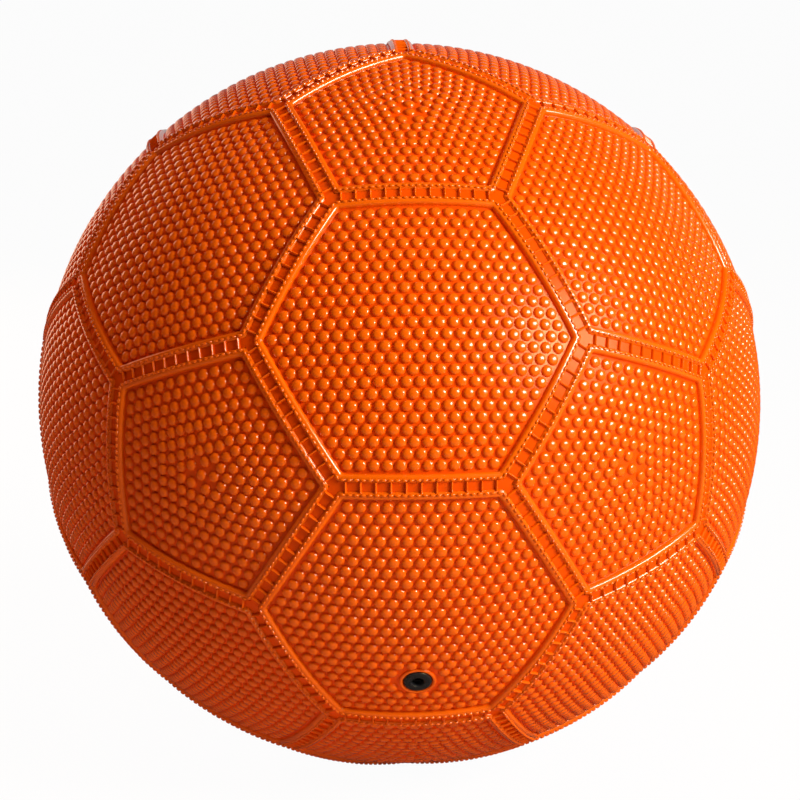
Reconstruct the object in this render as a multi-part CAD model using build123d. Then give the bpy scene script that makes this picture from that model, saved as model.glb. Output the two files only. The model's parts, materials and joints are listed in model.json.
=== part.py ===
from build123d import *
import os
from math import asin, atan, atan2, cos, degrees, pi, radians, sin, sqrt, tan

os.makedirs("parts", exist_ok=True)

# Driving dimensions, in millimetres
circumference = 590.0
panel_thickness = 1.5
rail_width = 1.9
rail_height = 1.5
channel_width = 2.0
channel_depth = 0.75
bond_gap = 0.15
carcass_thickness = 0.8
winding_thickness = 0.5
bladder_thickness = 0.9

# Pebbles: a coarse field of low domes; the moulded ball has finer ones, 3 mm apart
pebble_height = 0.9
pebble_radius = 3.2
pebble_pitch = 7.8
pebble_margin = 0.6

# Valve dimensions
valve_elevation = -32.4
plug_head_radius = 3.3
plug_head_top = 0.6
plug_stem_radius = 2.4
plug_stem_length = 14.0
plug_edge_rounding = 0.5
stem_end_chamfer = 0.8
plug_head_clearance = 0.15
plug_stem_clearance = 0.05
needle_lead_radius = 1.5
needle_lead_depth = 1.6
needle_bore_radius = 1.1
needle_bore_length = 9.0
ring_outer_radius = 4.4
ring_height = 1.0
ring_rounding = 0.4
ring_margin = 0.5
neck_radius = 4.5
boss_radius = 5.2
stem_end_gap = 0.1
flange_radius = 13.0
flange_thickness = 1.0
slit_length = 3.2
slit_width = 0.3
housing_floor = 1.4

# Radii of the layers, from the outside in
pebble_top_radius = circumference / (2 * pi)
ground_radius = pebble_top_radius - pebble_height
crest_radius = ground_radius + rail_height
floor_radius = crest_radius - channel_depth
panel_inner_radius = ground_radius - panel_thickness
carcass_radius = panel_inner_radius - bond_gap
carcass_inner_radius = carcass_radius - carcass_thickness
winding_radius = carcass_inner_radius - bond_gap
winding_inner_radius = winding_radius - winding_thickness
bladder_radius = winding_inner_radius - bond_gap
bladder_inner_radius = bladder_radius - bladder_thickness
panel_inset = channel_width / 2
panel_root = ground_radius - panel_thickness / 2
outer_ring_inset = panel_inset + rail_width + pebble_margin + pebble_radius
web_inset = panel_inset - bond_gap

# Heights that every cutting pyramid spans
pyramid_low = 0.6 * ground_radius
pyramid_high = 1.15 * ground_radius

golden = (1 + sqrt(5)) / 2


def turns(a, b, c):
    """Every sign change of the three cyclic turns of a, b, c, as unit vectors."""
    found = []
    for x, y, z in ((a, b, c), (c, a, b), (b, c, a)):
        for sx in (1, -1):
            for sy in (1, -1):
                for sz in (1, -1):
                    way = Vector(sx * x, sy * y, sz * z).normalized()
                    if all((way - other).length > 0.01 for other in found):
                        found.append(way)
    return found


def top_down(ways):
    """Order directions from the top of the ball to the bottom, then round it."""
    return sorted(ways, key=lambda way: (-round(way.Z, 3), round(atan2(way.Y, way.X), 3)))


pentagon_ways = top_down(turns(0, 1, golden))
hexagon_ways = top_down(turns(1, 1, 1) + turns(0, golden, 1 / golden))
corner_reach = sqrt(1 + 9 * golden**2)


def rim_angle(sides):
    """Angle at the ball's centre from a panel's middle to the middle of its edge."""
    corner = 1 / sin(pi / sides)
    return atan2(1 / tan(pi / sides), sqrt(corner_reach**2 - corner**2))


def panel_plane(way):
    """Frame of one panel: its Z goes out through the panel, its X to the nearest edge."""
    others = [other for other in pentagon_ways + hexagon_ways if (other - way).length > 0.01]
    nearest = min(others, key=lambda other: round((other - way).length, 4))
    return Plane((0, 0, 0), x_dir=nearest - way * way.dot(nearest), z_dir=way)


def ball(radius):
    """Sphere with its poles and seam turned away from the panel's middle."""
    return Rot(0, 90, 0) * Sphere(radius)


def pyramid(sides, inset):
    """Space above a panel, its walls moved in by inset from the edges' middle lines."""
    angle = rim_angle(sides)
    outlines = []
    for height in (pyramid_low, pyramid_high):
        apothem = (height * sin(angle) - inset) / cos(angle)
        corner = apothem / cos(pi / sides)
        turned = [pi / sides * (2 * k + 1) for k in range(sides)]
        points = [(corner * cos(t), corner * sin(t)) for t in turned]
        outlines.append(Pos(0, 0, height) * make_face(Polyline(*points, close=True)))
    return loft(outlines, ruled=True)


def rail(sides):
    """One side's rail: a round-topped rib turned about the ball, mitred at both ends."""
    angle = rim_angle(sides)
    inward = Vector(-cos(angle), 0, sin(angle))
    outward = Vector(sin(angle), 0, cos(angle))
    near = panel_inset
    far = panel_inset + rail_width
    middle = (near + far) / 2
    crest = sqrt(crest_radius**2 - middle**2)
    shoulder = crest - rail_width / 2
    outline = [
        Line((near, panel_root), (near, shoulder)),
        ThreePointArc((near, shoulder), (middle, crest), (far, shoulder)),
        Line((far, shoulder), (far, panel_root)),
        Line((far, panel_root), (near, panel_root)),
    ]
    section = Plane((0, 0, 0), x_dir=inward, z_dir=inward.cross(outward)) * make_face(outline)
    axis = Axis((0, 0, 0), inward)
    reach = 1.2 * degrees(asin(1 / corner_reach))
    rib = revolve(section.rotate(axis, -reach), axis, 2 * reach)
    half = pyramid_high * tan(pi / sides)
    wedge = make_face(Polyline((0, 0), (pyramid_high, half), (pyramid_high, -half), close=True))
    return rib & extrude(wedge, pyramid_high)


def pebble_spots(sides):
    """Directions of a panel's pebbles: rings that copy its outline, and one in the middle."""
    outer = rim_angle(sides) - asin(outer_ring_inset / ground_radius)
    rings = max(1, round(outer * ground_radius / (pebble_pitch * cos(pi / 6))))
    spots = [Vector(0, 0, 1)]
    for ring in range(1, rings + 1):
        tilt = outer * ring / rings
        corner = atan(tan(pi / sides) * sin(tilt))
        gaps = max(1, round(2 * corner * ground_radius / pebble_pitch))
        for step in range(gaps):
            turn = corner * (2 * step / gaps - 1)
            spot = Vector(sin(tilt) * cos(turn), sin(turn), cos(tilt) * cos(turn))
            spots += [spot.rotate(Axis.Z, 360 / sides * k) for k in range(sides)]
    return spots


def pebble():
    """Low round dome above the ground's top, its root sunk in the sheet."""
    top = ground_radius + pebble_height
    dome_radius = (pebble_radius**2 + pebble_height**2) / (2 * pebble_height)
    middle = top - dome_radius
    root_reach = sqrt(dome_radius**2 - (panel_root - middle) ** 2)
    half = asin(root_reach / dome_radius) / 2
    outline = [
        Line((0, top), (0, panel_root)),
        Line((0, panel_root), (root_reach, panel_root)),
        ThreePointArc(
            (root_reach, panel_root),
            (dome_radius * sin(half), middle + dome_radius * cos(half)),
            (0, top),
        ),
    ]
    return revolve(Plane.XZ * make_face(outline), Axis.Z, 360)


def panel(sides, spots):
    """Cover panel: a curved sheet with a rail standing along every edge and a pebble on every spot."""
    sheet = (pyramid(sides, panel_inset) & ball(ground_radius)) - ball(panel_inner_radius)
    side_rail = rail(sides)
    rails = [Rot(0, 0, 360 / sides * k) * side_rail for k in range(sides)]
    dome = pebble()
    pebbles = [Plane((0, 0, 0), z_dir=spot).location * dome for spot in spots]
    return sheet + rails + pebbles


def save(shape, name):
    """Write one named piece."""
    export_step(shape, f"parts/{name}.step")


# Valve axis: its Z goes out of the ball, its X along the ball's X
valve_way = Vector(0, -cos(radians(valve_elevation)), sin(radians(valve_elevation)))
valve_plane = Plane((0, 0, 0), x_dir=(1, 0, 0), z_dir=valve_way)
valve_hexagon = max(hexagon_ways, key=lambda way: way.dot(valve_way))
plug_top = ground_radius + plug_head_top
plug_seat = panel_inner_radius - 2 * bond_gap
valve_hole_radius = plug_head_radius + plug_head_clearance
neck_hole_radius = neck_radius + bond_gap
stem_bore_radius = plug_stem_radius + plug_stem_clearance


def on_valve_axis(low, high, radius):
    """Round bar on the valve axis between two distances from the ball's centre."""
    bar = Pos(0, 0, low) * Cylinder(radius, high - low, align=(Align.CENTER, Align.CENTER, Align.MIN))
    return valve_plane.location * bar


def valve_ring():
    """Raised ring round the valve hole."""
    high = ground_radius + ring_height
    ring = Pos(0, 0, panel_root) * Cylinder(
        ring_outer_radius, high - panel_root, align=(Align.CENTER, Align.CENTER, Align.MIN)
    )
    ring = fillet(ring.edges().group_by(Axis.Z)[-1], ring_rounding)
    return valve_plane.location * ring


# Cover panels: the plain ones by number, and the one that holds the valve
hexagon_panel = panel(6, pebble_spots(6))
pentagon_panel = panel(5, pebble_spots(5))
plain_hexagon_ways = [way for way in hexagon_ways if way != valve_hexagon]
for number, way in enumerate(plain_hexagon_ways, 1):
    save(hexagon_panel.moved(panel_plane(way).location), f"hexagon_panel_{number:02d}")
for number, way in enumerate(pentagon_ways, 1):
    save(pentagon_panel.moved(panel_plane(way).location), f"pentagon_panel_{number:02d}")
valve_spot = panel_plane(valve_hexagon).to_local_coords(valve_way)
ring_clear_angle = degrees((ring_outer_radius + ring_margin + pebble_radius) / ground_radius)
open_spots = [spot for spot in pebble_spots(6) if spot.get_angle(valve_spot) > ring_clear_angle]
valve_panel = panel(6, open_spots).moved(panel_plane(valve_hexagon).location) + valve_ring()
valve_panel = valve_panel - on_valve_axis(pyramid_low, pyramid_high, valve_hole_radius)
save(valve_panel, "valve_panel")

# Carcass: a shell whose raised web fills the channels between the panels
pockets = []
for ways, sides in ((hexagon_ways, 6), (pentagon_ways, 5)):
    pocket = pyramid(sides, web_inset) - ball(carcass_radius)
    pockets += [pocket.moved(panel_plane(way).location) for way in ways]
pole = Plane((0, 0, 0), z_dir=pentagon_ways[0]).location
carcass = pole * Sphere(floor_radius) - pockets
carcass = carcass - pole * Sphere(carcass_inner_radius)
carcass = carcass - on_valve_axis(pyramid_low, pyramid_high, neck_hole_radius)
save(carcass, "carcass")

# Wound thread layer and bladder
winding = Sphere(winding_radius) - Sphere(winding_inner_radius)
winding = winding - on_valve_axis(pyramid_low, pyramid_high, neck_hole_radius)
save(winding, "thread_winding")
bladder = Sphere(bladder_radius) - Sphere(bladder_inner_radius)
bladder = bladder - on_valve_axis(pyramid_low, pyramid_high, neck_hole_radius)
save(bladder, "bladder")

# Valve housing: a flange against the bladder, a neck out through the layers, a boss inwards
flange_out = bladder_inner_radius - bond_gap
flange = Sphere(flange_out) - Sphere(flange_out - flange_thickness)
flange = flange & on_valve_axis(pyramid_low, pyramid_high, flange_radius)
boss_end = plug_seat - plug_stem_length - stem_end_gap - housing_floor
housing = flange + on_valve_axis(boss_end, flange_out - flange_thickness / 2, boss_radius)
housing = housing + on_valve_axis(flange_out - flange_thickness, plug_seat, neck_radius)
housing = housing - on_valve_axis(boss_end + housing_floor, plug_seat + 1, stem_bore_radius)
slit = Pos(0, 0, boss_end) * Box(slit_length, slit_width, 2 * housing_floor)
housing = housing - valve_plane.location * slit
save(housing, "valve_housing")

# Valve plug: a round head in the ring, a stem down the housing and a hole for the needle
head = Pos(0, 0, plug_seat) * Cylinder(
    plug_head_radius, plug_top - plug_seat, align=(Align.CENTER, Align.CENTER, Align.MIN)
)
head = fillet(head.edges().group_by(Axis.Z)[-1], plug_edge_rounding)
stem = Pos(0, 0, plug_seat) * Cylinder(
    plug_stem_radius, plug_stem_length, align=(Align.CENTER, Align.CENTER, Align.MAX)
)
stem = chamfer(stem.edges().group_by(Axis.Z)[0], stem_end_chamfer)
lead = Pos(0, 0, plug_top) * Cylinder(
    needle_lead_radius, 2 * needle_lead_depth, align=(Align.CENTER, Align.CENTER, Align.CENTER)
)
bore = Pos(0, 0, plug_top - needle_lead_depth) * Cylinder(
    needle_bore_radius, needle_bore_length, align=(Align.CENTER, Align.CENTER, Align.MAX)
)
save(valve_plane.location * (head + stem - lead - bore), "valve_plug")
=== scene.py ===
# %% [markdown]
# # Dressing a rubber handball
#
# The CAD part gives every layer of the ball as a plain solid. This lesson adds what a hand feels on the real
# one: round pebbles, beaded rails, ladder seams and the valve. Everything is in metres and in the CAD frame.

# %% Load the frame
import json
from math import asin, atan, atan2, copysign, cos, pi, radians, sin, sqrt, tan

import bmesh
import bpy
import numpy as np
from mathutils import Matrix, Vector


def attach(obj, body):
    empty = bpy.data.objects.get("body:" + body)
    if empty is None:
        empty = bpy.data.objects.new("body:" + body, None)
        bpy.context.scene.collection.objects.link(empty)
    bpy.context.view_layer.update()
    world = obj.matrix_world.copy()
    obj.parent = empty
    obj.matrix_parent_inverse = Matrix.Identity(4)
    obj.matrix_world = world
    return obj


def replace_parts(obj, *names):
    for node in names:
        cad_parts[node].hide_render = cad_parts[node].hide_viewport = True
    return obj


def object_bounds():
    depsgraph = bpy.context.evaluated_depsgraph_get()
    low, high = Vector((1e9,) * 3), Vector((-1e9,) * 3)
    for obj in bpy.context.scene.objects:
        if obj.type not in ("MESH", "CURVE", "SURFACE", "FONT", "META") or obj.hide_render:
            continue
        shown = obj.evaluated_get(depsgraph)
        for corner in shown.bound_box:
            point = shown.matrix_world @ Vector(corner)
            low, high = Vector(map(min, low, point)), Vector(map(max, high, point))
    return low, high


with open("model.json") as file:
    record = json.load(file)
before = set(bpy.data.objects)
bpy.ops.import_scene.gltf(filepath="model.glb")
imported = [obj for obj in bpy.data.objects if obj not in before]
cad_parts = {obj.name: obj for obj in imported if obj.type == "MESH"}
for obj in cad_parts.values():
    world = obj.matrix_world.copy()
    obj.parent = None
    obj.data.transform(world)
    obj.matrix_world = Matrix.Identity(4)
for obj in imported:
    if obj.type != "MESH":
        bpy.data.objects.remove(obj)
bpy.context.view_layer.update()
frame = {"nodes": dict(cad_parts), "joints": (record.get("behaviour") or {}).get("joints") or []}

# %% [markdown]
# ## Which way the panels face
#
# The cover follows a truncated icosahedron, as many balls do: twenty hexagons and twelve pentagons. Their
# middles could be read from the CAD meshes, but vertices crowd round the valve and pull such a mean aside.
# The golden ratio gives the exact directions, and each CAD node then takes the nearest one.

# %% Panel directions
GOLDEN = (1 + sqrt(5)) / 2
same_way = 0.01


def turned_signs(a, b, c):
    """Unit vectors from every sign change of the three cyclic turns of a, b, c."""
    found = []
    for x, y, z in ((a, b, c), (c, a, b), (b, c, a)):
        for sx in (1, -1):
            for sy in (1, -1):
                for sz in (1, -1):
                    way = Vector((sx * x, sy * y, sz * z)).normalized()
                    if all((way - other).length > same_way for other in found):
                        found.append(way)
    return found


pentagon_ways = turned_signs(0, 1, GOLDEN)
hexagon_ways = turned_signs(1, 1, 1) + turned_signs(0, GOLDEN, 1 / GOLDEN)
panel_ways = hexagon_ways + pentagon_ways
print("hexagons:", len(hexagon_ways), "pentagons:", len(pentagon_ways))


# %% Panel nodes and their directions
def corners_of(node):
    """Vertices of a CAD node as an array."""
    mesh = frame["nodes"][node].data
    flat = np.empty(3 * len(mesh.vertices), np.float32)
    mesh.vertices.foreach_get("co", flat)
    return flat.reshape(-1, 3).astype(float)


panel_nodes = {}
for node in frame["nodes"]:
    if "panel" in node:
        middle = Vector(corners_of(node).mean(axis=0)).normalized()
        panel_nodes[node] = max(panel_ways, key=middle.dot)
print("panels matched:", len({tuple(way) for way in panel_nodes.values()}))

# %% [markdown]
# ## Sizes from the frame
#
# A dressed panel has to sit exactly where its CAD node sits, so the radii of its ground, rails and underside
# are measured on the CAD meshes. The solids carry only a coarse field of domes, so the ground is the lowest
# of the upper points. What the CAD leaves out or makes coarse gets sizes of its own, further down.


# %% Radii and channel width
def rim_angle(sides):
    """Angle at the ball's centre from a panel's middle to the middle of its edge."""
    corner = 1 / sin(pi / sides)
    return atan2(1 / tan(pi / sides), sqrt(1 + 9 * GOLDEN**2 - corner**2))


def panel_turn(way):
    """Rotation that takes a panel's own frame, X to its nearest edge and Z outwards, to its place."""
    others = [other for other in panel_ways if (other - way).length > same_way]
    nearest = min(others, key=lambda other: round((other - way).length, 4))
    x_way = (nearest - way * way.dot(nearest)).normalized()
    return Matrix((x_way, way.cross(x_way), way)).transposed().to_4x4()


node, way = next((name, way) for name, way in panel_nodes.items() if name.startswith("pentagon"))
own = corners_of(node) @ np.array(panel_turn(way).to_3x3())
reach = np.linalg.norm(own, axis=1)
under_radius = reach.min()
crest_radius = reach.max()
half_sheet = 0.0007
middle_cone = radians(8)
upper = (own[:, 2] > reach * cos(middle_cone)) & (reach > under_radius + half_sheet)
ground_radius = reach[upper].min()
edge_inward = (-cos(rim_angle(5)), 0, sin(rim_angle(5)))
channel_half = (own @ edge_inward).min()
floor_radius = np.linalg.norm(corners_of("carcass"), axis=1).max()
print("mm: under %.2f ground %.2f crest %.2f floor %.2f, half channel %.2f" % tuple(
    1000 * size for size in (under_radius, ground_radius, crest_radius, floor_radius, channel_half)))

# %% [markdown]
# ## Node trees as sums
#
# Both the finishes and the repeated studs are node trees. Adding every Math node by hand hides the formula,
# so one small class wraps a socket: arithmetic on it adds the nodes, and `node` adds any other kind.


# %% A socket that can do arithmetic
class Wire:
    """One socket in a node tree. Arithmetic on it adds Math nodes."""

    def __init__(self, tree, socket=None):
        self.tree = tree
        self.socket = socket

    def node(self, kind, settings=None, sockets=None, out=0):
        """Add a node, its settings first and then its sockets, and give one of its outputs."""
        new = self.tree.nodes.new(kind)
        for name, value in (settings or {}).items():
            setattr(new, name, value)
        for name, value in (sockets or {}).items():
            live = [socket for socket in new.inputs if socket.enabled]
            into = live[name] if isinstance(name, int) else next(s for s in live if s.name == name)
            if isinstance(value, Wire):
                self.tree.links.new(value.socket, into)
            else:
                into.default_value = value
        outputs = [socket for socket in new.outputs if socket.enabled]
        return Wire(self.tree, outputs[out]) if outputs else None

    def maths(self, operation, *values):
        return self.node("ShaderNodeMath", {"operation": operation}, dict(enumerate(values)))

    def __add__(self, other):
        return self.maths("ADD", self, other)

    def __radd__(self, other):
        return self.maths("ADD", other, self)

    def __sub__(self, other):
        return self.maths("SUBTRACT", self, other)

    def __rsub__(self, other):
        return self.maths("SUBTRACT", other, self)

    def __mul__(self, other):
        return self.maths("MULTIPLY", self, other)

    def __truediv__(self, other):
        return self.maths("DIVIDE", self, other)


print("operators ready on", Wire.__name__)

# %% [markdown]
# ## Finishes
#
# The cover is moulded rubber. Handling polishes what stands up, so pebbles and rails carry a clear gloss,
# while the ground between them only has a soft warm sheen. Low places are also painted a darker, redder
# colour, which is painted shade for the hollows between pebbles and rails. That could be painted by hand. The
# distance from the ball's centre tells high from low just as well, and it holds on every panel. Rubber is
# never one even colour either, so a soft noise on Object coordinates shifts colour and roughness a little.

# %% Rubber and thread finishes
warm_gloss = (1.0, 0.82, 0.40)
coat_weight = 0.85
coat_roughness = 0.16
object_output = 3


def finish(name, colour, roughness, mottle, grain, specular=0.5, shade_and_gloss=None):
    """Mottled material: colour and roughness drift by the share mottle over patches of size grain.

    The last argument holds painted shade, a darker colour for low places without the clear gloss, and the
    radii of low and high.
    """
    material = bpy.data.materials.new(name)
    material.use_nodes = True
    tree = material.node_tree
    tree.nodes.clear()
    bench = Wire(tree)
    spot = bench.node("ShaderNodeTexCoord", out=object_output)
    cloud = bench.node("ShaderNodeTexNoise", None, {"Vector": spot, "Scale": 1 / grain, "Detail": 3.0})
    dark = tuple(part * (1 - mottle) for part in colour) + (1.0,)
    light = tuple(min(1.0, part * (1 + mottle)) for part in colour) + (1.0,)
    tint = bench.node("ShaderNodeMix", {"data_type": "RGBA"}, {"Factor": cloud, "A": dark, "B": light})
    rough = roughness * (1 - mottle) + cloud * (2 * mottle * roughness)
    values = {"Base Color": tint, "Roughness": rough, "Specular IOR Level": specular,
              "Specular Tint": warm_gloss + (1.0,)}
    # Painted shade: nearer the ball's centre the colour blends into a darker, redder one, and the clear coat
    # fades out.
    if shade_and_gloss:
        deep, low, high = shade_and_gloss
        radius = bench.node("ShaderNodeVectorMath", {"operation": "LENGTH"}, {0: spot})
        rise = bench.node("ShaderNodeMapRange", {"interpolation_type": "SMOOTHSTEP"}, {
            "Value": radius, "From Min": low, "From Max": high})
        values["Base Color"] = bench.node("ShaderNodeMix", {"data_type": "RGBA"}, {
            "Factor": rise, "A": deep + (1.0,), "B": tint})
        values["Coat Weight"] = rise * coat_weight
        values["Coat Roughness"] = coat_roughness
    surface = bench.node("ShaderNodeBsdfPrincipled", None, values)
    bench.node("ShaderNodeOutputMaterial", None, {"Surface": surface})
    return material


# Painted shade for low places, over the same height in which the clear gloss fades in.
shade_and_gloss_height = 0.0007
cover_shade_and_gloss = ((0.69, 0.062, 0.0002), ground_radius, ground_radius + shade_and_gloss_height)
# Painted shade for the channels: their floor gets a darker, redder colour than the tops of the rungs.
seam_shade_and_gloss = ((0.67, 0.062, 0.0002), floor_radius, floor_radius + shade_and_gloss_height)
cover_rubber = finish("cover_rubber", (0.71, 0.103, 0.0003), roughness=0.25, mottle=0.04, grain=0.012,
                      specular=0.26, shade_and_gloss=cover_shade_and_gloss)
seam_rubber = finish("seam_rubber", (0.70, 0.097, 0.0003), roughness=0.25, mottle=0.04, grain=0.010,
                     specular=0.12, shade_and_gloss=seam_shade_and_gloss)
winding_thread = finish("winding_thread", (0.70, 0.66, 0.56), roughness=0.85, mottle=0.12, grain=0.002,
                        specular=0.2)
bladder_rubber = finish("bladder_rubber", (0.02, 0.02, 0.021), roughness=0.60, mottle=0.15, grain=0.006)
valve_rubber = finish("valve_rubber", (0.016, 0.016, 0.018), roughness=0.28, mottle=0.15, grain=0.003)
print("finishes:", [material.name for material in bpy.data.materials])

# %% [markdown]
# ## The panel's skin
#
# A panel is a curved sheet with a round-topped rail along each edge. It could be cut from a sphere with
# booleans, but rows are cleaner: each row runs once round the panel at one distance from the edges, and the
# rows step over the rail, down its wall and across the ground to the middle. Corners get a small rounding,
# and the rail is a little squarer than a half circle, as the moulded one is.

# %% Points at a distance from a panel's edge
def edge_point(sides, side, inset, height, turn):
    """Point at inset from an edge's plane, height from that edge's axis, turned along the edge."""
    angle = rim_angle(sides)
    x = height * cos(turn) * sin(angle) - inset * cos(angle)
    y = height * sin(turn)
    z = inset * sin(angle) + height * cos(turn) * cos(angle)
    swing = 2 * pi * side / sides
    return (x * cos(swing) - y * sin(swing), x * sin(swing) + y * cos(swing), z)


def mitre_turn(sides, inset, height):
    """Turn along an edge at which it meets the next edge."""
    angle = rim_angle(sides)
    slope = tan(pi / sides)
    lean = slope * sin(angle)
    return atan(lean) - asin(inset / height * slope * cos(angle) / sqrt(1 + lean**2))


half_edge = asin(1 / sqrt(1 + 9 * GOLDEN**2))
print("edge on the ground: %.2f mm" % (2000 * half_edge * ground_radius))

# %% One row round a panel
straight_steps = 10
corner_steps = 4


def panel_row(sides, inset, height, rounding):
    """One closed row of points at inset from every edge, its corners rounded."""
    half_corner = asin(cos(pi / sides) / cos(half_edge))
    tangent = rounding / tan(half_corner)
    limit = mitre_turn(sides, inset, height)
    straight = limit - tangent / height
    half = [(inset, straight * k / straight_steps) for k in range(straight_steps + 1)]
    for k in range(1, corner_steps):
        bend = (pi / 2 - half_corner) * k / corner_steps
        along = tangent - rounding * sin(bend)
        half.append((inset + rounding * (1 - cos(bend)), limit - along / height))
    last_inset = inset + rounding * (1 - sin(half_corner))
    half.append((last_inset, mitre_turn(sides, last_inset, height)))
    whole = [(deep, -turn) for deep, turn in reversed(half)] + half[1:-1]
    return [edge_point(sides, side, deep, height, turn) for side in range(sides) for deep, turn in whole]


row_length = 2 * (straight_steps + corner_steps)
print("points in a hexagon's row:", len(panel_row(6, channel_half, ground_radius, 0.0)), 6 * row_length)

# %% Rows from the underside over the rail to the middle
rail_width = 0.0019
rail_foot = 0.0002
rail_corner = 0.0016
rail_drop = 0.00015
rail_square = 0.80
rail_taper = 0.4
crest_steps = 8
foot_steps = 3
under_shares = (0.75, 0.5, 0.25, 0.08, 0.0)
ground_shares = (0.04, 0.1, 0.2, 0.34, 0.5, 0.68, 0.86)


def skin_rows(sides):
    """Rows of a panel's skin, from the middle of its underside to the middle of its ground."""
    middle_inset = sin(rim_angle(sides))
    near = channel_half
    far = near + rail_width
    axis = near + rail_width / 2
    crest = sqrt((crest_radius - rail_drop)**2 - axis**2)
    shoulder = crest - rail_width / 2
    rows = []
    for share in under_shares:
        inset = near + (under_radius * middle_inset - near) * share
        rows.append((inset, sqrt(under_radius**2 - inset**2), rail_corner))
    for k in range(crest_steps + 1):
        lean = pi * (1 - k / crest_steps)
        aside = copysign(abs(cos(lean))**rail_square, cos(lean))
        inset = axis + rail_width / 2 * aside
        height = shoulder + rail_width / 2 * abs(sin(lean))**rail_square
        rows.append((inset, height, rail_corner - (inset - near) * rail_taper))
    inner = rail_corner - rail_width * rail_taper
    foot = sqrt(ground_radius**2 - far**2)
    for k in range(foot_steps + 1):
        lean = pi / 2 * k / foot_steps
        rows.append((far + rail_foot * (1 - cos(lean)), foot + rail_foot * (1 - sin(lean)), inner))
    start = far + rail_foot
    for share in ground_shares:
        inset = start + (ground_radius * middle_inset - start) * share
        rows.append((inset, sqrt(ground_radius**2 - inset**2), inner * (1 - share)))
    return [panel_row(sides, *row) for row in rows]


print("rows of the skin:", len(skin_rows(6)))


# %% The skin as a closed mesh
weld = 1e-7
hard_edge = radians(50)


def joined_rows(rows):
    """Vertices and faces of closed rows of equal length, each joined to the next."""
    count = len(rows[0])
    points = [point for row in rows for point in row]
    faces = []
    for r in range(len(rows) - 1):
        for k in range(count):
            after = (k + 1) % count
            faces.append((r * count + k, r * count + after, (r + 1) * count + after, (r + 1) * count + k))
    return points, faces


def outward_mesh(name, points, faces):
    """Smooth mesh with doubles merged, every face turned outwards and the hard edges marked."""
    mesh = bpy.data.meshes.new(name)
    mesh.from_pydata(points, [], faces)
    shell = bmesh.new()
    shell.from_mesh(mesh)
    bmesh.ops.remove_doubles(shell, verts=shell.verts, dist=weld)
    bmesh.ops.recalc_face_normals(shell, faces=shell.faces)
    shell.to_mesh(mesh)
    shell.free()
    mesh.shade_smooth()
    mesh.set_sharp_from_angle(angle=hard_edge)
    return mesh


def panel_skin(name, sides):
    """Closed skin of one panel in its own frame."""
    rows = skin_rows(sides)
    points, faces = joined_rows(rows)
    count = len(rows[0])
    low_middle = len(points)
    points += [(0, 0, under_radius), (0, 0, ground_radius)]
    top = (len(rows) - 1) * count
    for k in range(count):
        after = (k + 1) % count
        faces.append((low_middle, after, k))
        faces.append((low_middle + 1, top + k, top + after))
    return outward_mesh(name, points, faces)


hexagon_skin = panel_skin("hexagon_skin", 6)
pentagon_skin = panel_skin("pentagon_skin", 5)
print("faces: hexagon", len(hexagon_skin.polygons), "pentagon", len(pentagon_skin.polygons))

# %% [markdown]
# ## Where the studs stand
#
# The pebbles stand in rings that copy the panel's outline. A hexagon's rings lose one pebble a side from
# each ring to the next, so they pack like coins. A pentagon has less room, and its rings lose one or two.
# The rail's beads stand in a row on each crest. Every spot also keeps the direction along its edge.

# %% Rings of pebbles and rows of beads
outer_ring_inset = 0.00475
hexagon_rings = tuple(range(11, -1, -1))
pentagon_rings = (10, 9, 8, 7, 6, 4, 3, 1, 0)


def ring_spots(sides, rings):
    """Places of the pebbles, with the direction along the nearest edge."""
    angle = rim_angle(sides)
    outer = angle - asin(outer_ring_inset / ground_radius)
    spots = []
    for k, gaps in enumerate(rings):
        inset = ground_radius * sin(angle - outer * (1 - k / (len(rings) - 1)))
        height = sqrt(ground_radius**2 - inset**2)
        limit = mitre_turn(sides, inset, height)
        for side in range(sides if gaps else 1):
            for j in range(max(gaps, 1)):
                turn = limit * (2 * j / gaps - 1) if gaps else 0.0
                spots.append((edge_point(sides, side, inset, height, turn), 2 * pi * side / sides))
    return spots


beads_per_edge = 24
bead_aside = 0.00025


def bead_spots(sides):
    """Places of the beads on the rails' crests, with the direction along the edge."""
    inset = channel_half + rail_width / 2 - bead_aside
    height = sqrt((crest_radius - rail_drop)**2 - inset**2)
    limit = mitre_turn(sides, inset, height)
    turns = [limit * ((2 * j + 1) / beads_per_edge - 1) for j in range(beads_per_edge)]
    return [(edge_point(sides, side, inset, height, turn), 2 * pi * side / sides)
            for side in range(sides) for turn in turns]


print("pebbles: hexagon", len(ring_spots(6, hexagon_rings)), "pentagon", len(ring_spots(5, pentagon_rings)))

# %% [markdown]
# ## Studs by Geometry Nodes
#
# Thousands of pebbles, beads and rungs share one recipe: put a small shape on every point, turn its Z
# outwards and its X along the point's own direction, and scale it. The pebble itself is a cone whose rings
# are bent onto a dome in the same tree. Instances are realized at the end, as the export would drop them.


# %% Shapes for the studs
dome_crown = 0.92
dome_foot = 1 - dome_crown
foot_fall = 0.11
thin_tip = 0.001


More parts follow.
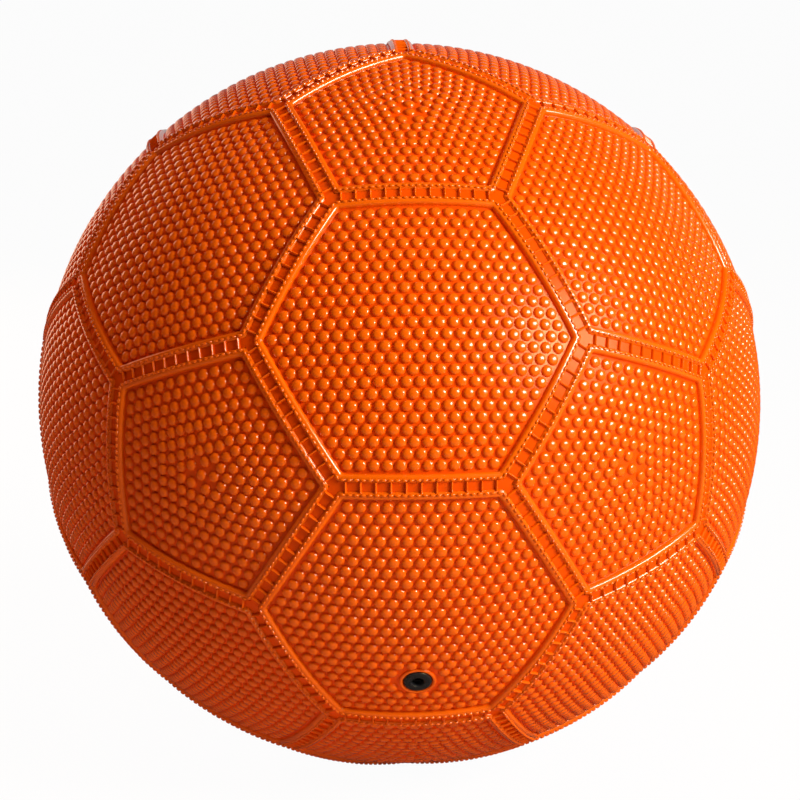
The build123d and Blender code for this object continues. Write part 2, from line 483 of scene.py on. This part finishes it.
def dome_shape(bench, given):
    """Round dome of unit size that flares into the ground at its foot."""
    cone = bench.node("GeometryNodeMeshCone", {"fill_type": "NGON"}, {
        "Vertices": given["Segments"], "Side Segments": given["Rings"],
        "Radius Top": 0.0, "Radius Bottom": 1.0, "Depth": 1.0})
    spot = bench.node("GeometryNodeInputPosition")
    side_x = bench.node("ShaderNodeSeparateXYZ", None, {0: spot}, out=0)
    side_y = bench.node("ShaderNodeSeparateXYZ", None, {0: spot}, out=1)
    fall = 1 - bench.node("ShaderNodeSeparateXYZ", None, {0: spot}, out=2)
    steps = fall * given["Rings"]
    flare = bench.maths("MAXIMUM", steps - (given["Rings"] - 1), 0.0)
    bend = (steps - flare) / (given["Rings"] - 1) * (pi / 2)
    reach = bench.maths("POWER", bench.maths("SINE", bend), given["Fullness"]) + flare * given["Flare"]
    widen = reach / bench.maths("MAXIMUM", fall, thin_tip)
    foot = dome_foot - flare * foot_fall
    drop = bench.maths("POWER", bench.maths("MAXIMUM", bench.maths("COSINE", bend), 0.0), given["Fullness"])
    lift = drop * dome_crown + foot
    bent = bench.node("ShaderNodeCombineXYZ", None, {"X": side_x * widen, "Y": side_y * widen, "Z": lift})
    return bench.node("GeometryNodeSetPosition", None, {"Geometry": cone, "Position": bent})


def bar_shape(bench, given):
    """Round bar of unit size that lies along X, half of it below the ground."""
    rod = bench.node("GeometryNodeMeshCylinder", {"fill_type": "NGON"}, {
        "Vertices": given["Segments"], "Radius": 1.0, "Depth": 2.0})
    return bench.node("GeometryNodeTransform", None, {"Geometry": rod, "Rotation": (0.0, pi / 2, 0.0)})


print("shapes:", dome_shape.__name__, bar_shape.__name__)


# %% A tree that sets a shape on points
def stud_tree(name, shape):
    """Geometry tree: a shape of given size on every point, Z outwards and X along the point's direction."""
    tree = bpy.data.node_groups.new(name, "GeometryNodeTree")
    face = tree.interface
    face.new_socket("Geometry", in_out="OUTPUT", socket_type="NodeSocketGeometry")
    face.new_socket("Points", in_out="INPUT", socket_type="NodeSocketGeometry")
    for size in ("Half Length", "Half Width", "Height", "Fullness", "Flare", "Spread"):
        face.new_socket(size, in_out="INPUT", socket_type="NodeSocketFloat")
    for count in ("Seed", "Segments", "Rings"):
        face.new_socket(count, in_out="INPUT", socket_type="NodeSocketInt")
    face.new_socket("Finish", in_out="INPUT", socket_type="NodeSocketMaterial")
    bench = Wire(tree)
    entry = tree.nodes.new("NodeGroupInput")
    given = {socket.name: Wire(tree, socket) for socket in entry.outputs}
    spot = bench.node("GeometryNodeInputPosition")
    outward = bench.node("ShaderNodeVectorMath", {"operation": "NORMALIZE"}, {0: spot})
    along = bench.node("GeometryNodeInputNamedAttribute", {"data_type": "FLOAT_VECTOR"}, {"Name": "along"})
    upright = bench.node("FunctionNodeAlignRotationToVector", {"axis": "Z"}, {"Vector": outward})
    turned = bench.node("FunctionNodeAlignRotationToVector", {"axis": "X", "pivot_axis": "Z"}, {
        "Rotation": upright, "Vector": along})
    vary = bench.node("FunctionNodeRandomValue", {"data_type": "FLOAT"}, {
        "Min": 1 - given["Spread"], "Max": 1 + given["Spread"], "Seed": given["Seed"]})
    size = bench.node("ShaderNodeCombineXYZ", None, {
        "X": given["Half Length"] * vary, "Y": given["Half Width"] * vary, "Z": given["Height"] * vary})
    placed = bench.node("GeometryNodeInstanceOnPoints", None, {
        "Points": given["Points"], "Instance": shape(bench, given), "Rotation": turned, "Scale": size})
    solid = bench.node("GeometryNodeRealizeInstances", None, {"Geometry": placed})
    smooth = bench.node("GeometryNodeSetShadeSmooth", None, {0: solid, "Shade Smooth": True})
    done = bench.node("GeometryNodeSetMaterial", None, {"Geometry": smooth, "Material": given["Finish"]})
    bench.node("NodeGroupOutput", None, {0: done})
    return tree


domes = stud_tree("domes_on_points", dome_shape)
bars = stud_tree("bars_on_points", bar_shape)
print("nodes in the dome tree:", len(domes.nodes))


# %% Turn spots into studs
def studs(name, tree, spots, **values):
    """Plain mesh of the tree's shape on every spot; values name the tree's inputs."""
    mesh = bpy.data.meshes.new(name)
    mesh.from_pydata([spot for spot, _ in spots], [], [])
    along = mesh.attributes.new("along", "FLOAT_VECTOR", "POINT")
    along.data.foreach_set("vector", [part for _, way in spots for part in way])
    holder = bpy.data.objects.new(name, mesh)
    bpy.context.scene.collection.objects.link(holder)
    modifier = holder.modifiers.new("studs", "NODES")
    modifier.node_group = tree
    for socket in tree.interface.items_tree:
        if socket.in_out == "INPUT" and socket.name in values:
            modifier[socket.identifier] = values[socket.name]
    graph = bpy.context.evaluated_depsgraph_get()
    plain = bpy.data.meshes.new_from_object(holder.evaluated_get(graph))
    bpy.data.objects.remove(holder)
    plain.set_sharp_from_angle(angle=hard_edge)
    return plain


def edge_ways(spots):
    """Spots with the swing of their side turned into a direction along it."""
    return [(spot, (-sin(swing), cos(swing), 0.0)) for spot, swing in spots]


pebble_size = {"Half Length": 0.00132, "Half Width": 0.00132, "Height": 0.00076, "Fullness": 0.76,
               "Flare": 0.05, "Spread": 0.02, "Seed": 3, "Segments": 12, "Rings": 4, "Finish": cover_rubber}
bead_size = {"Half Length": 0.00060, "Half Width": 0.00033, "Height": 0.00036, "Fullness": 0.76,
             "Flare": 0.05, "Spread": 0.05, "Seed": 5, "Segments": 10, "Rings": 4, "Finish": cover_rubber}
hexagon_pebbles = studs("hexagon_pebbles", domes, edge_ways(ring_spots(6, hexagon_rings)), **pebble_size)
pentagon_pebbles = studs("pentagon_pebbles", domes, edge_ways(ring_spots(5, pentagon_rings)), **pebble_size)
hexagon_beads = studs("hexagon_beads", domes, edge_ways(bead_spots(6)), **bead_size)
pentagon_beads = studs("pentagon_beads", domes, edge_ways(bead_spots(5)), **bead_size)
print("pebble faces in a hexagon:", len(hexagon_pebbles.polygons), "bead faces:", len(hexagon_beads.polygons))

# %% [markdown]
# ## The valve's ring and hole
#
# Below the middle of the front lower panel a smooth raised ring frames the valve. The hole is a boolean cut
# through the closed skin; the ring is a lathe, the natural tool for anything round. Pebbles that the ring
# would bury are left out.

# %% Valve axis and lathe
joint = frame["joints"][0]
valve_way = Vector(joint["axis"]).normalized()
valve_turn = Matrix((Vector((1, 0, 0)), valve_way.cross(Vector((1, 0, 0))), valve_way)).transposed().to_4x4()
plug_own = corners_of("valve_plug") @ np.array(valve_turn.to_3x3())
plug_top = plug_own[:, 2].max()
plug_reach = np.hypot(plug_own[:, 0], plug_own[:, 1])
plug_radius = plug_reach.max()
print("plug: radius %.2f mm, top at %.2f mm" % (1000 * plug_radius, 1000 * plug_top))


def lathe(name, profile, steps, closed):
    """Mesh turned about Z from a profile of (radius, height) that is closed or ends on the axis."""
    rows = []
    for radius, height in profile:
        rows.append([(radius * cos(2 * pi * k / steps), radius * sin(2 * pi * k / steps), height)
                     for k in range(steps)])
    if closed:
        rows.append(rows[0])
    return outward_mesh(name, *joined_rows(rows))


def rounded(middle, radius, start, stop, steps):
    """Points of an arc in a profile, angles in degrees."""
    angles = [radians(start + (stop - start) * k / steps) for k in range(steps + 1)]
    return [(middle[0] + radius * cos(a), middle[1] + radius * sin(a)) for a in angles]


# %% Ring and cut panel
turning_steps = 48
ring_outer = 0.0044
ring_height = 0.0005
ring_root = ground_radius - 0.0008
hole_gap = 0.00015
hole_radius = plug_radius + hole_gap
cutter_low = under_radius * 0.95
ring_crest = ground_radius + ring_height
ring_round = (ring_outer - hole_radius) / 2
ring_middle = (ring_outer - ring_round, ring_crest - ring_round)
ring_profile = [(ring_outer, ring_root), (ring_outer, ground_radius)]
ring_profile += rounded(ring_middle, ring_round, start=0, stop=180, steps=8)
ring_profile += [(hole_radius, ground_radius), (hole_radius, ring_root)]
valve_ring = lathe("valve_ring", ring_profile, turning_steps, True)

valve_panel_way = panel_nodes["valve_panel"]
into_panel = panel_turn(valve_panel_way).inverted() @ valve_turn
cutter_profile = [(0, cutter_low), (hole_radius, cutter_low), (hole_radius, crest_radius), (0, crest_radius)]
cutter_mesh = lathe("cutter", cutter_profile, turning_steps, False)
cutter_mesh.transform(into_panel)
valve_ring.transform(into_panel)
blank = bpy.data.objects.new("blank", hexagon_skin.copy())
cutter = bpy.data.objects.new("cutter", cutter_mesh)
for holder in (blank, cutter):
    bpy.context.scene.collection.objects.link(holder)
cut = blank.modifiers.new("hole", "BOOLEAN")
cut.operation = "DIFFERENCE"
cut.object = cutter
valve_skin = bpy.data.meshes.new_from_object(blank.evaluated_get(bpy.context.evaluated_depsgraph_get()))
for holder in (blank, cutter):
    bpy.data.objects.remove(holder)
print("valve panel faces after the cut:", len(valve_skin.polygons))

# %% Pebbles round the ring
valve_spot = into_panel.to_3x3() @ Vector((0, 0, 1))
ring_margin = 0.0002
clear_angle = (ring_outer + ring_margin) / ground_radius
open_spots = [(spot, swing) for spot, swing in ring_spots(6, hexagon_rings)
              if Vector(spot).angle(valve_spot) > clear_angle]
valve_pebbles = studs("valve_pebbles", domes, edge_ways(open_spots), **pebble_size)
print("pebbles left on the valve panel:", len(open_spots))

# %% [markdown]
# ## Panels in their places
#
# Every hexagon is the same moulding, and so is every pentagon. One mesh of each kind is joined from its skin,
# pebbles and beads, and a copy is turned to each panel's place, where it stands for the CAD node.


# %% One mesh for each kind of panel
def joined(name, material, *parts):
    """One mesh from several, all in one material."""
    whole = bmesh.new()
    for part in parts:
        whole.from_mesh(part)
    for face in whole.faces:
        face.material_index = 0
    mesh = bpy.data.meshes.new(name)
    whole.to_mesh(mesh)
    whole.free()
    mesh.materials.append(material)
    return mesh


mouldings = {
    "hexagon": joined("hexagon_moulding", cover_rubber, hexagon_skin, hexagon_pebbles, hexagon_beads),
    "pentagon": joined("pentagon_moulding", cover_rubber, pentagon_skin, pentagon_pebbles, pentagon_beads),
    "valve": joined("valve_moulding", cover_rubber, valve_skin, valve_pebbles, hexagon_beads, valve_ring),
}
print({kind: len(mesh.polygons) for kind, mesh in mouldings.items()})


# %% Set the panels on the ball
def place(name, mesh, body):
    """Add a finished mesh to the scene as a piece of the ball."""
    piece = bpy.data.objects.new(name, mesh)
    bpy.context.scene.collection.objects.link(piece)
    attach(piece, body)
    return piece


for node, way in panel_nodes.items():
    mesh = mouldings[node.split("_")[0]].copy()
    mesh.transform(panel_turn(way))
    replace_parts(place(node + "_cover", mesh, "ball"), node)
print("panels placed:", len(panel_nodes))

# %% [markdown]
# ## Ladder seams
#
# Between the rails the layer below shows as a channel floor with small rungs across it. The floor is a thin
# net that follows all ninety edges; the rungs are low rounded bars, set by the same tree as the pebbles.

# %% Floor of the channels
floor_lift = 0.00002
floor_depth = 0.0004
floor_tuck = 0.0001
floor_reach = channel_half + floor_tuck


def floor_net():
    """Thin closed net along every edge of the ball."""
    points = []
    faces = []
    for ways, sides in ((hexagon_ways, 6), (pentagon_ways, 5)):
        rows = []
        for inset, radius in ((0.0, floor_radius - floor_depth), (floor_reach, floor_radius - floor_depth),
                              (floor_reach, floor_radius + floor_lift), (0.0, floor_radius + floor_lift)):
            rows.append(panel_row(sides, inset, sqrt(radius**2 - inset**2), 0.0))
        own_points, own_faces = joined_rows(rows)
        for way in ways:
            turn = panel_turn(way)
            start = len(points)
            points += [tuple(turn @ Vector(point)) for point in own_points]
            faces += [tuple(start + k for k in face) for face in own_faces]
    return outward_mesh("floor_net", points, faces)


net = floor_net()
print("faces of the channel floor:", len(net.polygons))

# %% Rungs across the channels
rungs_per_edge = 11
rung_pitch = 0.00335
neighbour_angle = radians(43)


def rung_spots():
    """Places of the rungs, with the direction across the seam."""
    spots = []
    for k, first in enumerate(panel_ways):
        for second in panel_ways[k + 1:]:
            if first.angle(second) > neighbour_angle:
                continue
            angle = rim_angle(6 if first in hexagon_ways else 5)
            across = (second - first * first.dot(second)).normalized()
            middle = first * cos(angle) + across * sin(angle)
            along = first.cross(second).normalized()
            over = along.cross(middle)
            for j in range(rungs_per_edge):
                turn = (j - (rungs_per_edge - 1) / 2) * rung_pitch / floor_radius
                spots.append((tuple((middle * cos(turn) + along * sin(turn)) * floor_radius), tuple(over)))
    return spots


rung_size = {"Half Length": 0.0012, "Half Width": 0.00030, "Height": 0.00074, "Spread": 0.0, "Seed": 7,
             "Segments": 12, "Finish": seam_rubber}
rungs = studs("rungs", bars, rung_spots(), **rung_size)
ladder = joined("seam_ladder", seam_rubber, net, rungs)
place("seam_ladder", ladder, "ball")
print("rungs:", len(rung_spots()))

# %% [markdown]
# ## The valve plug
#
# The black plug is a rubber turning: a flat face with a bevelled rim and a lipped hole for the needle, and a
# stem below. It is a lathe on the valve's axis, in the same place as its CAD node, and rides its own body.

# %% Plug
stem_end = plug_own[:, 2].min()
head_share = 0.95
seat = plug_own[plug_reach > head_share * plug_radius][:, 2].min()
stem_radius = 0.0024
lead_radius = 0.0015
lead_depth = 0.0016
bore_radius = 0.0011
bore_length = 0.0090
bore_end = plug_top - lead_depth - bore_length
rim_bevel = 0.00045
stem_bevel = 0.0008
lip = 0.0002
rim_middle = (plug_radius - rim_bevel, plug_top - rim_bevel)
plug_profile = [(0, stem_end), (stem_radius - stem_bevel, stem_end), (stem_radius, stem_end + stem_bevel),
                (stem_radius, seat), (plug_radius, seat), (plug_radius, plug_top - rim_bevel)]
plug_profile += rounded(rim_middle, rim_bevel, start=20, stop=90, steps=5)
plug_profile += [(lead_radius + 3 * lip, plug_top)]
plug_profile += rounded((lead_radius + lip, plug_top - lip), lip, start=90, stop=180, steps=4)
plug_profile += [(lead_radius, plug_top - lead_depth), (bore_radius, plug_top - lead_depth),
                 (bore_radius, bore_end), (0, bore_end)]
plug_mesh = lathe("valve_plug_turning", plug_profile, turning_steps, False)
plug_mesh.transform(valve_turn)
plug_mesh.materials.append(valve_rubber)
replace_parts(place("valve_plug_turning", plug_mesh, "plug"), "valve_plug")
print("plug faces:", len(plug_mesh.polygons))

# %% [markdown]
# ## Layers inside
#
# The carcass, the wound thread, the bladder and the valve housing hide under the cover. Their CAD meshes are
# right as they are, so they only get a finish.

# %% Finish the inner layers
inner_finishes = {"carcass": seam_rubber, "thread_winding": winding_thread, "bladder": bladder_rubber,
                  "valve_housing": valve_rubber}
for node, material in inner_finishes.items():
    mesh = frame["nodes"][node].data
    mesh.materials.clear()
    mesh.materials.append(material)
print("inner layers:", list(inner_finishes))

# %% [markdown]
# ## Floor and light
#
# The picture is a studio shot on white. A key softbox on the right throws a shadow behind every pebble and
# rail, and warm lamps from the left, behind and above keep the shaded side readable. Only the key and the
# left lamp may show in the gloss, because more reflections would lay a milky veil on the rubber. Floor and
# room look white to the camera by a Light Path switch, so no lamp has to burn them out.

# %% White floor
floor_size = 120.0
floor_white = 0.97
floor_gloss = 0.03
floor_paint = (0.80, 0.67, 0.58, 1.0)
plain_white = (1.0, 1.0, 1.0, 1.0)
resting_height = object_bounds()[0][2]
camera_output = 0
glossy_output = 3
clear_output = 6


def in_view_of(bench):
    """1 for what the camera sees, straight or through something clear, and 0 for all other rays."""
    camera_ray = bench.node("ShaderNodeLightPath", out=camera_output)
    clear_ray = bench.node("ShaderNodeLightPath", out=clear_output)
    return bench.maths("MAXIMUM", camera_ray, clear_ray)


def white_floor():
    """Big square under the ball."""
    mesh = bpy.data.meshes.new("studio_floor")
    half = floor_size / 2
    sides = ((-half, -half), (half, -half), (half, half), (-half, half))
    mesh.from_pydata([(x, y, resting_height) for x, y in sides], [], [(0, 1, 2, 3)])
    material = bpy.data.materials.new("studio_white")
    material.use_nodes = True
    tree = material.node_tree
    tree.nodes.clear()
    bench = Wire(tree)
    in_view = in_view_of(bench)
    glossy_ray = bench.node("ShaderNodeLightPath", out=glossy_output)
    seen = bench.maths("MAXIMUM", in_view, glossy_ray)
    glow = in_view + glossy_ray * floor_gloss
    paint = bench.node("ShaderNodeBsdfDiffuse", None, {"Color": floor_paint})
    white = bench.node("ShaderNodeEmission", None, {"Color": plain_white, "Strength": glow})
    both = bench.node("ShaderNodeMixShader", None, {0: seen * floor_white, 1: paint, 2: white})
    bench.node("ShaderNodeOutputMaterial", None, {"Surface": both})
    mesh.materials.append(material)
    floor = bpy.data.objects.new("studio_floor", mesh)
    bpy.context.scene.collection.objects.link(floor)


white_floor()
print("floor at %.2f mm" % (1000 * resting_height))


# %% Soft light and room
def seen_from(azimuth, elevation):
    """Direction away from the ball, by degrees: azimuth 0 is the viewer's side and 90 the right."""
    a = radians(azimuth)
    e = radians(elevation)
    return Vector((sin(a) * cos(e), -cos(a) * cos(e), sin(e)))


def softbox(name, azimuth, elevation, distance, width, height, watts, colour, mirrored):
    """Rectangular lamp that faces the ball; the gloss shows it only if mirrored."""
    lamp = bpy.data.lights.new(name, "AREA")
    lamp.shape = "RECTANGLE"
    lamp.size = width
    lamp.size_y = height
    lamp.energy = watts
    lamp.color = colour
    stand = bpy.data.objects.new(name, lamp)
    stand.location = seen_from(azimuth, elevation) * distance
    stand.rotation_euler = (-stand.location).to_track_quat("-Z", "Y").to_euler()
    stand.visible_glossy = mirrored
    bpy.context.scene.collection.objects.link(stand)


neutral = (1.0, 1.0, 1.0)
warm = (1.0, 0.68, 0.46)
softbox("key_softbox", azimuth=52, elevation=25, distance=0.8, width=0.42, height=0.28, watts=10.5,
        colour=neutral, mirrored=True)
softbox("left_softbox", azimuth=-140, elevation=12, distance=0.9, width=0.50, height=0.70, watts=2.0,
        colour=warm, mirrored=True)
softbox("rim_softbox", azimuth=-132, elevation=12, distance=0.9, width=0.50, height=0.50, watts=6.6,
        colour=warm, mirrored=False)
softbox("top_softbox", azimuth=-30, elevation=76, distance=0.9, width=0.70, height=0.60, watts=3.4,
        colour=warm, mirrored=False)
room_front = 0.015
room_back = 0.50
back_starts = 0.7
back_full = 0.97


def studio_room():
    """Surroundings that look white, but light the ball dimly from the front and more from behind."""
    room = bpy.data.worlds.new("studio_room")
    room.use_nodes = True
    tree = room.node_tree
    tree.nodes.clear()
    bench = Wire(tree)
    way = bench.node("ShaderNodeTexCoord", out=0)
    behind = bench.node("ShaderNodeSeparateXYZ", None, {0: way}, out=1)
    share = bench.node("ShaderNodeMapRange", {"interpolation_type": "SMOOTHSTEP"}, {
        "Value": behind, "From Min": back_starts, "From Max": back_full, "To Min": room_front,
        "To Max": room_back})
    in_view = in_view_of(bench)
    light = bench.node("ShaderNodeBackground", None, {
        "Color": plain_white, "Strength": share * (1 - in_view) + in_view})
    bench.node("ShaderNodeOutputWorld", None, {"Surface": light})
    bpy.context.scene.world = room


studio_room()
bpy.context.scene.view_settings.view_transform = "Standard"
print("lamps:", [lamp.name for lamp in bpy.data.lights])

# %% [markdown]
# ## Camera
#
# The place, lens and small roll of the camera were worked out from the outline and the seam corners of the
# ball in the photograph. A slight lens shift sets the ball a little below the middle, as it is there.

# %% Camera as in the photograph
camera_azimuth = -2.818
camera_elevation = 11.456
camera_roll = -0.149
camera_distance = 0.55309
lens_length = 94.257
sensor_width = 36.0
photo_width = 800
pixels_right = -0.30
pixels_up = 3.03
camera_data = bpy.data.cameras.new("camera")
camera_data.lens = lens_length
camera_data.sensor_width = sensor_width
camera_data.shift_x = pixels_right / photo_width
camera_data.shift_y = pixels_up / photo_width
camera = bpy.data.objects.new("camera", camera_data)
back = seen_from(camera_azimuth, camera_elevation)
camera.location = back * camera_distance
aim = (-back).to_track_quat("-Z", "Y").to_matrix()
camera.rotation_euler = (aim @ Matrix.Rotation(radians(camera_roll), 3, "Z")).to_euler()
bpy.context.scene.collection.objects.link(camera)
bpy.context.scene.camera = camera
print("camera at", [round(part, 4) for part in camera.location])
